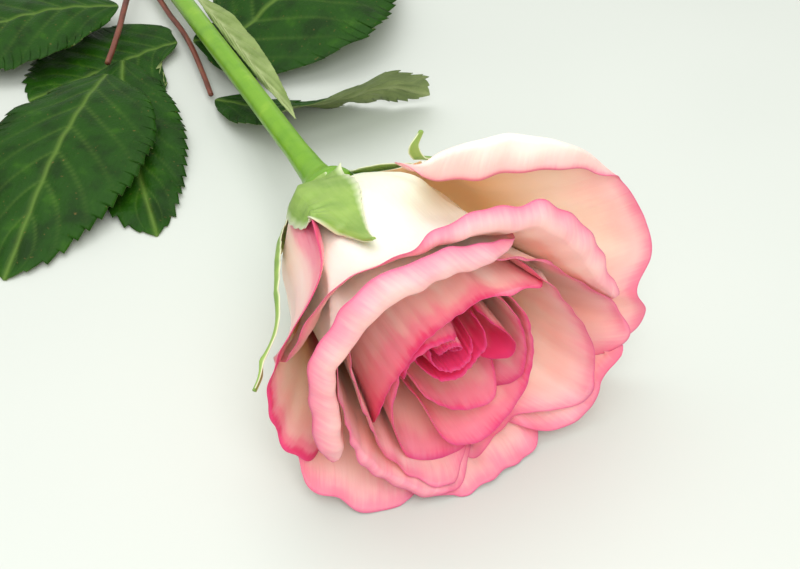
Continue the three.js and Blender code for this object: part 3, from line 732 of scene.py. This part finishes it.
def sepal(name, rows, material, phase):
    """A pointed sepal that lies on the outermost petals and joins the receptacle."""
    height, angle, half_width, lift, places = sepal_curves(rows)
    teeth = 1 + SEPAL_TEETH.get(name, FAINT_TEETH) * np.sin(places * TEETH_TURN + phase)
    half_width = (np.maximum(half_width, LEAST_SEPAL) * teeth)[None, :]
    side = np.linspace(-1, 1, SEPAL_COLUMNS)[:, None]
    bare = np.maximum(shell[whole_degrees(angle), nearest_level(height)], LEAST_BARE)
    turn = angle[None, :] + np.degrees(side * half_width / bare[None, :])
    levels = np.repeat(height[None, :], SEPAL_COLUMNS, 0)
    under = shell_radius(whole_degrees(turn), levels)
    under = np.maximum(under, bare[None, :] * UNDER_SHARE)
    for _ in range(DRAPE_PASSES):
        under = np.maximum(under, blur(under))
    radius = under + SEPAL_CLEARANCE + lift[None, :] + SEPAL_BULGE * (1 - side**2)
    joint_top = PETAL_BASE + 1
    joined = np.clip((joint_top - levels) / (joint_top - SEPAL_FOOT), 0, 1) ** 2
    radius = radius * (1 - joined) + SEPAL_FOOT_RADIUS * joined
    net = bloom_points(turn, radius, levels)
    net[..., 2] = np.maximum(net[..., 2], SEPAL_THICKNESS / 2)
    across = side * half_width
    edge = np.clip((np.abs(side) - (1 - SEPAL_EDGE)) / SEPAL_EDGE, 0, 1) * np.ones_like(across)
    thinning = SEPAL_MIDDLE - SEPAL_THINNING * np.abs(side) ** 3
    thickness = SEPAL_THICKNESS * thinning * np.ones_like(across)
    places = surface_places(across, arc_lengths(net, 1))
    faces = sheet_faces(*net.shape[:2])
    fields = {"edge": both_sides(edge)}
    make_piece(name, sheet(net, thickness), faces, fields, places, material)


# ---- round pieces: the stem and the stalks ----
def tube_faces(rings, sides):
    """Quads of a tube between rings of points, with nothing over its ends."""
    i, j = np.meshgrid(np.arange(rings - 1), np.arange(sides), indexing="ij")
    a = (i * sides + j).ravel()
    b = (i * sides + (j + 1) % sides).ravel()
    return np.stack([a, b, b + sides, a + sides], 1)


def tube(name, centres, radii, sides, fields, material, phase):
    """A round piece along a line of centres. Where a centre repeats, its ring is a point."""
    along = unit(np.gradient(centres, axis=0))
    first = unit(np.cross(along, np.array([0.0, 0, 1])))
    second = np.cross(first, along)
    turn = np.linspace(0, 2 * math.pi, sides, endpoint=False)
    ridges = 1 + RIDGE_SIZE * np.sin(turn * RIDGE_COUNT + phase)[None, :]
    cosine, sine = np.cos(turn)[None, :, None], np.sin(turn)[None, :, None]
    ring = first[:, None] * cosine + second[:, None] * sine
    points = centres[:, None] + ring * (radii[:, None] * ridges)[..., None]
    points = points.reshape(-1, 3)
    points[:, 2] = np.maximum(points[:, 2], ROUND_GAP)
    around = np.repeat((turn * AROUND)[None, :], len(centres), 0)
    distance = np.repeat(line_lengths(centres), sides)
    places = np.stack([around.ravel(), distance], 1) * PLACE_SCALE
    made_fields = {key: np.repeat(value, sides) for key, value in fields.items()}
    faces = tube_faces(len(centres), sides)
    make_piece(name, points, faces, made_fields, places, material)


def stem_piece(material):
    """The receptacle and the stem, one round piece with a pale cut at its end."""
    table = np.array(STEM, float)
    heights = np.concatenate([
        [table[0, 0]] * END_ROWS, np.linspace(table[0, 0], SHAPED_END, SHAPED_ROWS),
        np.linspace(EVEN_START, -STEM_REACH, EVEN_ROWS), [table[-1, 0]] * END_ROWS,
    ])
    radii = np.interp(-heights, -table[:, 0], table[:, 1])
    radii[1:-1] = blur(radii[:, None])[1:-1, 0]
    centres = MOUTH + FORWARD * heights[:, None]
    cut = np.zeros(len(heights))
    cut[-END_ROWS:] = 1
    tube("stem", centres, radii, STEM_SIDES, {"cut": cut}, material, phase=1)


def curve_points(points, count):
    """A smooth line through points, read at evenly spaced places."""
    table = np.array(points, float)
    steps = np.arange(len(table))
    fine = np.linspace(0, len(table) - 1, CURVE_STEPS)
    values = crest_curve(np.concatenate([steps[:, None], table], 1), fine).T
    length = line_lengths(values)
    wanted = np.linspace(0, length[-1], count)
    return np.stack([np.interp(wanted, length, values[:, k]) for k in range(3)], 1)


def stalk(name, radius, points, material):
    """A leaf stalk that thins a little, with both ends drawn almost to a point."""
    centres = curve_points(points, STALK_ROWS)
    centres = np.concatenate([centres[:1], centres, centres[-1:]])
    centres[0] += (centres[1] - centres[2]) * TIP_REACH
    centres[-1] += (centres[-2] - centres[-3]) * TIP_REACH
    thinning = np.linspace(radius, radius * STALK_TAPER, STALK_ROWS)
    radii = np.concatenate([[TIP_RADIUS], thinning, [TIP_RADIUS]])
    tube(name, centres, radii, STALK_SIDES, {}, material, phase=2)


# ---- leaves ----
def blade_frame(spec, t):
    """A leaflet's midrib, and its directions along, sideways and up."""
    middle = curve_points(spec["ribs"], LEAF_ROWS)
    along = unit(np.gradient(middle, axis=0))
    flat = unit(np.stack([along[:, 1], -along[:, 0], np.zeros(LEAF_ROWS)], 1))
    over = np.cross(flat, along)
    roll = np.radians(spec["roll"][0] + (spec["roll"][1] - spec["roll"][0]) * t)[:, None]
    side_way = flat * np.cos(roll) + over * np.sin(roll)
    return middle, along, side_way, np.cross(side_way, along)


def blade_veins(t, column, reach):
    """How strongly a vein shows at each point, and the wave between the side veins."""
    branch = (t[None, :] - VEIN_SLANT * np.abs(column)) * VEIN_PAIRS
    near_vein = np.abs((branch + 0.5) % 1 - 0.5) / VEIN_PAIRS
    fade = np.clip(1.1 - np.abs(column), 0, 1)
    side_vein = VEIN_STRENGTH * np.exp(-(near_vein / VEIN_WIDTH) ** 2) * fade
    midrib = np.exp(-((column * reach / MIDRIB_WIDTH) ** 2))
    return np.clip(np.maximum(side_vein, midrib), 0, 1), np.cos(2 * math.pi * branch)


def leaflet(spec, material):
    """A serrated blade with a sunken midrib and side veins."""
    t = np.linspace(0, 1, LEAF_ROWS)
    column = np.linspace(-1, 1, LEAF_COLUMNS)[:, None]
    middle, along, side_way, up_way = blade_frame(spec, t)
    share = np.maximum(BLADE_LEAST, np.sin(math.pi * t**BLADE_LEAN) ** BLADE_FULLNESS)
    reach = np.where(column < 0, spec["left"], spec["right"]) * share
    saw = TOOTH_START + (1 - TOOTH_START) * ((t * LEAF_TEETH) % 1)
    tooth = spec.get("jagged", 1) * saw * np.minimum(1, TOOTH_FADE * t * (1 - t))
    tooth_depth = TOOTH_DEPTH * tooth * np.abs(column) ** TOOTH_POWER
    lean = TOOTH_LEAN * tooth * np.abs(column) ** TOOTH_POWER
    out = column * reach + np.sign(column) * tooth_depth * np.minimum(1, share * 3)
    net = middle[None] + side_way[None] * out[..., None] + along[None] * lean[..., None]
    vein, between = blade_veins(t, column, reach)
    droop = spec["droop"] * column**2 * share
    quilt = QUILT * between * (1 - np.abs(column)) * share
    ripple = wave(
        t[None, :] * 100 + column * RIPPLE_TURN, spec["seed"], RIPPLE_LENGTHS, RIPPLE
    )
    ripple = ripple * np.abs(column) ** RIPPLE_POWER * np.minimum(1, share * 2)
    lift = -droop - VEIN_DEPTH * vein - quilt + ripple
    net = net + up_way[None] * lift[..., None]
    net[..., 2] = np.maximum(net[..., 2], LEAF_THICKNESS / 2 + LEAF_GAP)
    thickness = LEAF_THICKNESS * (1 - THIN_BLADE * np.abs(column) ** THIN_POWER) * np.ones_like(out)
    normal_up = np.cross(np.gradient(net, axis=0), np.gradient(net, axis=1))[..., 2].mean()
    back = each_side(out.shape, 1, 0) if normal_up > 0 else each_side(out.shape, 0, 1)
    fields = {"vein": both_sides(vein), "back": back}
    places = surface_places(out, t[None, :] * BLADE_LENGTH * np.ones_like(out))
    faces = sheet_faces(*net.shape[:2])
    make_piece(spec["name"], sheet(net, thickness), faces, fields, places, material)


# ---- materials ----
def new_group(name, inputs, outputs):
    """A node group with the given sockets, and its input and output nodes."""
    group = bpy.data.node_groups.new(name, "ShaderNodeTree")
    for socket, kind, value in inputs:
        made = group.interface.new_socket(socket, in_out="INPUT", socket_type=kind)
        if value is not None:
            made.default_value = value
    for socket, kind in outputs:
        group.interface.new_socket(socket, in_out="OUTPUT", socket_type=kind)
    return group, group.nodes.new("NodeGroupInput"), group.nodes.new("NodeGroupOutput")


def node(tree, kind, inputs=None, **settings):
    """A node with its settings, and with each input linked or set."""
    made = tree.nodes.new(kind)
    for key, value in settings.items():
        setattr(made, key, value)
    for key, value in (inputs or {}).items():
        if isinstance(value, bpy.types.NodeSocket):
            tree.links.new(value, made.inputs[key])
        else:
            made.inputs[key].default_value = value
    return made


def calculate(tree, operation, first, second, third=0.0):
    """A number worked out from two or three others."""
    inputs = {0: first, 1: second, 2: third}
    return node(tree, "ShaderNodeMath", inputs, operation=operation).outputs[0]


def blend(tree, amount, first, second, mode="MIX"):
    """A colour between two others: sockets 0, 6 and 7 are its amount and its two colours."""
    inputs = {0: amount, 6: first, 7: second}
    made = node(tree, "ShaderNodeMix", inputs, data_type="RGBA", blend_type=mode)
    return made.outputs[2]


def ramp(tree, value, stops, interpolation="EASE"):
    """A colour that runs through the stops, each a place and a shade."""
    made = node(tree, "ShaderNodeValToRGB", {0: value})
    made.color_ramp.interpolation = interpolation
    elements = made.color_ramp.elements
    while len(elements) < len(stops):
        elements.new(0.5)
    for element, (place, shade) in zip(elements, stops):
        element.position = place
        element.color = linear(shade)
    return made.outputs[0]


def field(tree, name):
    """A number that the mesh holds at each point."""
    return node(tree, "ShaderNodeAttribute", attribute_name=name).outputs["Fac"]


def surface_place(tree):
    """Where a point lies in the surface patterns."""
    return node(tree, "ShaderNodeUVMap", uv_map="surface").outputs[0]


def fine_veins():
    """Fine lines that run up a petal or blade, with a faint crossing grain."""
    group, given, made = new_group(
        "fine_veins",
        [("Place", "NodeSocketVector", None), ("Fineness", "NodeSocketFloat", 1.0)],
        [("Lines", "NodeSocketFloat"), ("Mottle", "NodeSocketFloat")],
    )
    place, fineness = given.outputs["Place"], given.outputs["Fineness"]
    stretched = node(group, "ShaderNodeMapping", {0: place, "Scale": (110, 9, 1)})
    lines = node(group, "ShaderNodeTexNoise", {
        "Vector": stretched.outputs[0], "Scale": fineness, "Detail": 3, "Distortion": 0.4,
    })
    soft = node(group, "ShaderNodeTexNoise", {"Vector": place, "Scale": 12, "Detail": 4})
    group.links.new(lines.outputs["Fac"], made.inputs["Lines"])
    group.links.new(soft.outputs["Fac"], made.inputs["Mottle"])
    return group


FINE_VEINS = fine_veins()


def place_veins(tree, fineness):
    """The lines and the mottle of the shared veins, on the piece's own surface."""
    inputs = {"Place": surface_place(tree), "Fineness": fineness}
    made = node(tree, "ShaderNodeGroup", inputs, node_tree=FINE_VEINS)
    return made.outputs["Lines"], made.outputs["Mottle"]


def new_material(name, roughness):
    """A material with its node tree and its shader."""
    material = bpy.data.materials.new(name)
    material.use_nodes = True
    tree = material.node_tree
    shader = tree.nodes["Principled BSDF"]
    shader.inputs["Roughness"].default_value = roughness
    return material, tree, shader


def raise_surface(tree, shader, height, distance, strength):
    """Fine relief, as deep as the distance in metres."""
    inputs = {"Height": height, "Distance": distance, "Strength": strength}
    bump = node(tree, "ShaderNodeBump", inputs)
    tree.links.new(bump.outputs[0], shader.inputs["Normal"])


def glow_through(shader, weight, radius, scale):
    """Light that spreads inside a thin soft sheet or stem."""
    shader.inputs["Subsurface Weight"].default_value = weight
    shader.inputs["Subsurface Radius"].default_value = radius
    shader.inputs["Subsurface Scale"].default_value = scale


def petal_material():
    """Cream and peach petals, pink to magenta at the margin, with a dark line on the rim; deep in
    the cup the inner face turns peach, partly the petal's own colour and partly painted warm bounce
    light.
    """
    material, tree, shader = new_material("petal_satin", 0.5)
    lines, mottle = place_veins(tree, 1.0)
    streak = calculate(tree, "MULTIPLY_ADD", lines, 0.5, 0.75)
    patch = calculate(tree, "MULTIPLY_ADD", mottle, 0.6, 0.7)
    margin = calculate(tree, "MULTIPLY", field(tree, "margin"), streak)
    margin = calculate(tree, "MULTIPLY", margin, patch)
    inside = calculate(tree, "SUBTRACT", 1.0, field(tree, "back"))
    # The inner face runs from cream to peach down the cup: partly the petal's own peach, partly
    # painted warm light bouncing between the petals.
    hollow_peach_and_bounce = calculate(tree, "MULTIPLY", field(tree, "depth"), inside)
    base = ramp(tree, hollow_peach_and_bounce, [(0.0, "#fff2e8"), (0.3, "#fde7d3"), (1.0, "#fdcda0")])
    outer_stops = [(0.0, "#fff1e2"), (0.5, "#fff6e8"), (1.0, "#fbf7dc")]
    outer = ramp(tree, field(tree, "depth"), outer_stops)
    ground = blend(tree, field(tree, "back"), base, outer)
    pink = calculate(tree, "ADD", margin, field(tree, "pink"))
    blush = calculate(tree, "MINIMUM", pink, 1.0)
    tint_stops = [(0.0, "#ffffff"), (0.3, "#fdd0d6"), (0.62, "#f99ab6"), (1.0, "#ef4585")]
    tint = ramp(tree, blush, tint_stops)
    colour = blend(tree, 1.0, ground, tint, "MULTIPLY")
    edge = calculate(tree, "MULTIPLY", field(tree, "rim_line"), 0.85)
    colour = blend(tree, edge, colour, linear("#cf3b78"))
    tree.links.new(colour, shader.inputs["Base Color"])
    glow_through(shader, 0.3, (1.0, 0.5, 0.35), 0.0015)
    shader.inputs["Sheen Weight"].default_value = 0.05
    shader.inputs["Sheen Roughness"].default_value = 0.4
    shader.inputs["Specular IOR Level"].default_value = 0.3
    raise_surface(tree, shader, lines, 0.00012, 0.6)
    return material


def stem_material():
    """Fresh yellow-green skin, pale where the stem is cut."""
    material, tree, shader = new_material("stem_skin", 0.38)
    lines, mottle = place_veins(tree, 0.5)
    green = ramp(tree, mottle, [(0.3, "#57900a"), (0.55, "#6ba010"), (0.75, "#86b228")])
    green = blend(tree, calculate(tree, "MULTIPLY", lines, 0.3), green, linear("#94ba44"))
    green = blend(tree, field(tree, "cut"), green, linear("#dfe6b0"))
    tree.links.new(green, shader.inputs["Base Color"])
    glow_through(shader, 0.1, (0.6, 1.0, 0.3), 0.002)
    raise_surface(tree, shader, lines, 0.0002, 0.7)
    return material


def sepal_material():
    """Light green with a cream margin."""
    material, tree, shader = new_material("sepal_green", 0.5)
    lines, mottle = place_veins(tree, 0.8)
    green = ramp(tree, mottle, [(0.3, "#668f28"), (0.6, "#82a63e"), (0.8, "#9ab85a")])
    green = blend(tree, calculate(tree, "MULTIPLY", lines, 0.35), green, linear("#b6ca84"))
    green = blend(tree, field(tree, "edge"), green, linear("#dfe6c4"))
    tree.links.new(green, shader.inputs["Base Color"])
    raise_surface(tree, shader, lines, 0.0003, 0.6)
    return material


def stalk_material():
    """Red-brown stalks with a touch of green."""
    material, tree, shader = new_material("stalk_red", 0.45)
    lines, mottle = place_veins(tree, 0.5)
    red = ramp(tree, mottle, [(0.3, "#4f2a22"), (0.6, "#7a4030"), (0.85, "#6d7a35")])
    tree.links.new(red, shader.inputs["Base Color"])
    raise_surface(tree, shader, lines, 0.0002, 0.6)
    return material


def leaf_material(name, tops, unders):
    """A mottled blade with pale veins, tan spots on top and a paler underside."""
    material, tree, shader = new_material(name, 0.5)
    place = surface_place(tree)
    lines, mottle = place_veins(tree, 0.6)
    vein = field(tree, "vein")
    top = ramp(tree, mottle, [(0.3, tops[0]), (0.55, tops[1]), (0.75, tops[2])])
    top = blend(tree, calculate(tree, "MULTIPLY", vein, 0.6), top, linear(tops[3]))
    spots = node(tree, "ShaderNodeTexNoise", {"Vector": place, "Scale": 70.0, "Detail": 5.0})
    tan = ramp(tree, spots.outputs["Fac"], [(0.66, "#000000"), (0.74, "#ffffff")], "LINEAR")
    top = blend(tree, calculate(tree, "MULTIPLY", tan, 0.45), top, linear("#8a6a3c"))
    below = ramp(tree, mottle, [(0.3, unders[0]), (0.7, unders[1])])
    below = blend(tree, calculate(tree, "MULTIPLY", vein, 0.5), below, linear(unders[2]))
    colour = blend(tree, field(tree, "back"), below, top)
    tree.links.new(colour, shader.inputs["Base Color"])
    grain = node(tree, "ShaderNodeTexVoronoi", {"Vector": place, "Scale": 110.0})
    height = calculate(tree, "MULTIPLY_ADD", grain.outputs["Distance"], 0.6, lines)
    raise_surface(tree, shader, height, 0.0003, 0.5)
    shader.inputs["Specular IOR Level"].default_value = 0.15
    return material


def table_material():
    """Plain pale table."""
    material, tree, shader = new_material("pale_table", 0.55)
    place = node(tree, "ShaderNodeTexCoord").outputs["Object"]
    soft = node(tree, "ShaderNodeTexNoise", {"Vector": place, "Scale": 6.0, "Detail": 2.0})
    pale = ramp(tree, soft.outputs["Fac"], [(0.3, "#cad0ca"), (0.7, "#ced4ce")])
    tree.links.new(pale, shader.inputs["Base Color"])
    return material


# ---- the rose, from the heart outwards ----
petal_satin = petal_material()
for index in range(len(PETALS)):
    petal(index, petal_satin)

sepal_green = sepal_material()
for phase, (name, rows) in enumerate(SEPALS):
    sepal(name, rows, sepal_green, phase)

stem_piece(stem_material())
stalk_red = stalk_material()
for name, radius, points in STALKS:
    stalk(name, radius, points, stalk_red)

leaf_materials = {
    "leaf": leaf_material(
        "leaf_green", ["#123202", "#1b4404", "#2c5808", "#6b8a3a"],
        ["#6f7f4e", "#87965f", "#a3ad78"],
    ),
    "bract": leaf_material(
        "bract_green", ["#74894c", "#869a5c", "#98aa6c", "#b2be8a"],
        ["#7b8e58", "#93a470", "#b4be90"],
    ),
}
for spec in LEAFLETS:
    slot = spec.get("slot", "leaf")
    leaflet(spec, leaf_materials[slot])

# ---- the table ----
table_mesh = bpy.data.meshes.new("table")
table_corners = [
    (x * TABLE_HALF, y * TABLE_HALF, 0) for x, y in ((-1, -1), (1, -1), (1, 1), (-1, 1))
]
table_mesh.from_pydata(table_corners, [], [(0, 1, 2, 3)])
table_mesh.materials.append(table_material())
table = bpy.data.objects.new("table", table_mesh)
bpy.context.scene.collection.objects.link(table)

# ---- the light ----
mouth = ORIGIN + Vector((0, 0, MOUTH_HEIGHT * MM))


def area_light(name, offset, power, width):
    """A square soft lamp in watts and metres, offset from the mouth and turned to it."""
    lamp = bpy.data.lights.new(name, "AREA")
    lamp.energy = power
    lamp.size = width
    lamp.color = LAMP_COLOUR
    made = bpy.data.objects.new(name, lamp)
    made.location = mouth + Vector(offset)
    aim = mouth - (mouth + Vector(offset))
    made.rotation_euler = aim.to_track_quat("-Z", "Y").to_euler()
    bpy.context.scene.collection.objects.link(made)


area_light("ceiling", (-0.02, 0.2, 0.7), 3.0, 0.7)
area_light("front", (-0.1, -0.35, 0.5), 2.5, 0.4)

world = bpy.data.worlds.new("soft_room")
world.use_nodes = True
room = world.node_tree.nodes["Background"]
room.inputs["Color"].default_value = ROOM_COLOUR
room.inputs["Strength"].default_value = ROOM_STRENGTH
bpy.context.scene.world = world
bpy.context.scene.view_settings.view_transform = "Standard"


# ---- the camera ----
def place_camera():
    """A camera at its angle from the mouth, moved aside so that the mouth lies off its middle."""
    azimuth, elevation = math.radians(CAMERA_AZIMUTH), math.radians(CAMERA_ELEVATION)
    back = Vector((
        math.sin(azimuth) * math.cos(elevation),
        -math.cos(azimuth) * math.cos(elevation),
        math.sin(elevation),
    ))
    right = Vector((math.cos(azimuth), math.sin(azimuth), 0))
    up = back.cross(right)
    lens = bpy.data.cameras.new("camera")
    lens.lens = LENS
    lens.sensor_width = SENSOR
    lens.clip_start = NEAREST
    camera = bpy.data.objects.new("camera", lens)
    pose = Matrix((right, up, back)).transposed().to_4x4()
    pose.translation = mouth + back * CAMERA_DISTANCE + right * CAMERA_ASIDE + up * CAMERA_ABOVE
    camera.matrix_world = pose
    bpy.context.scene.collection.objects.link(camera)
    bpy.context.scene.camera = camera


place_camera()
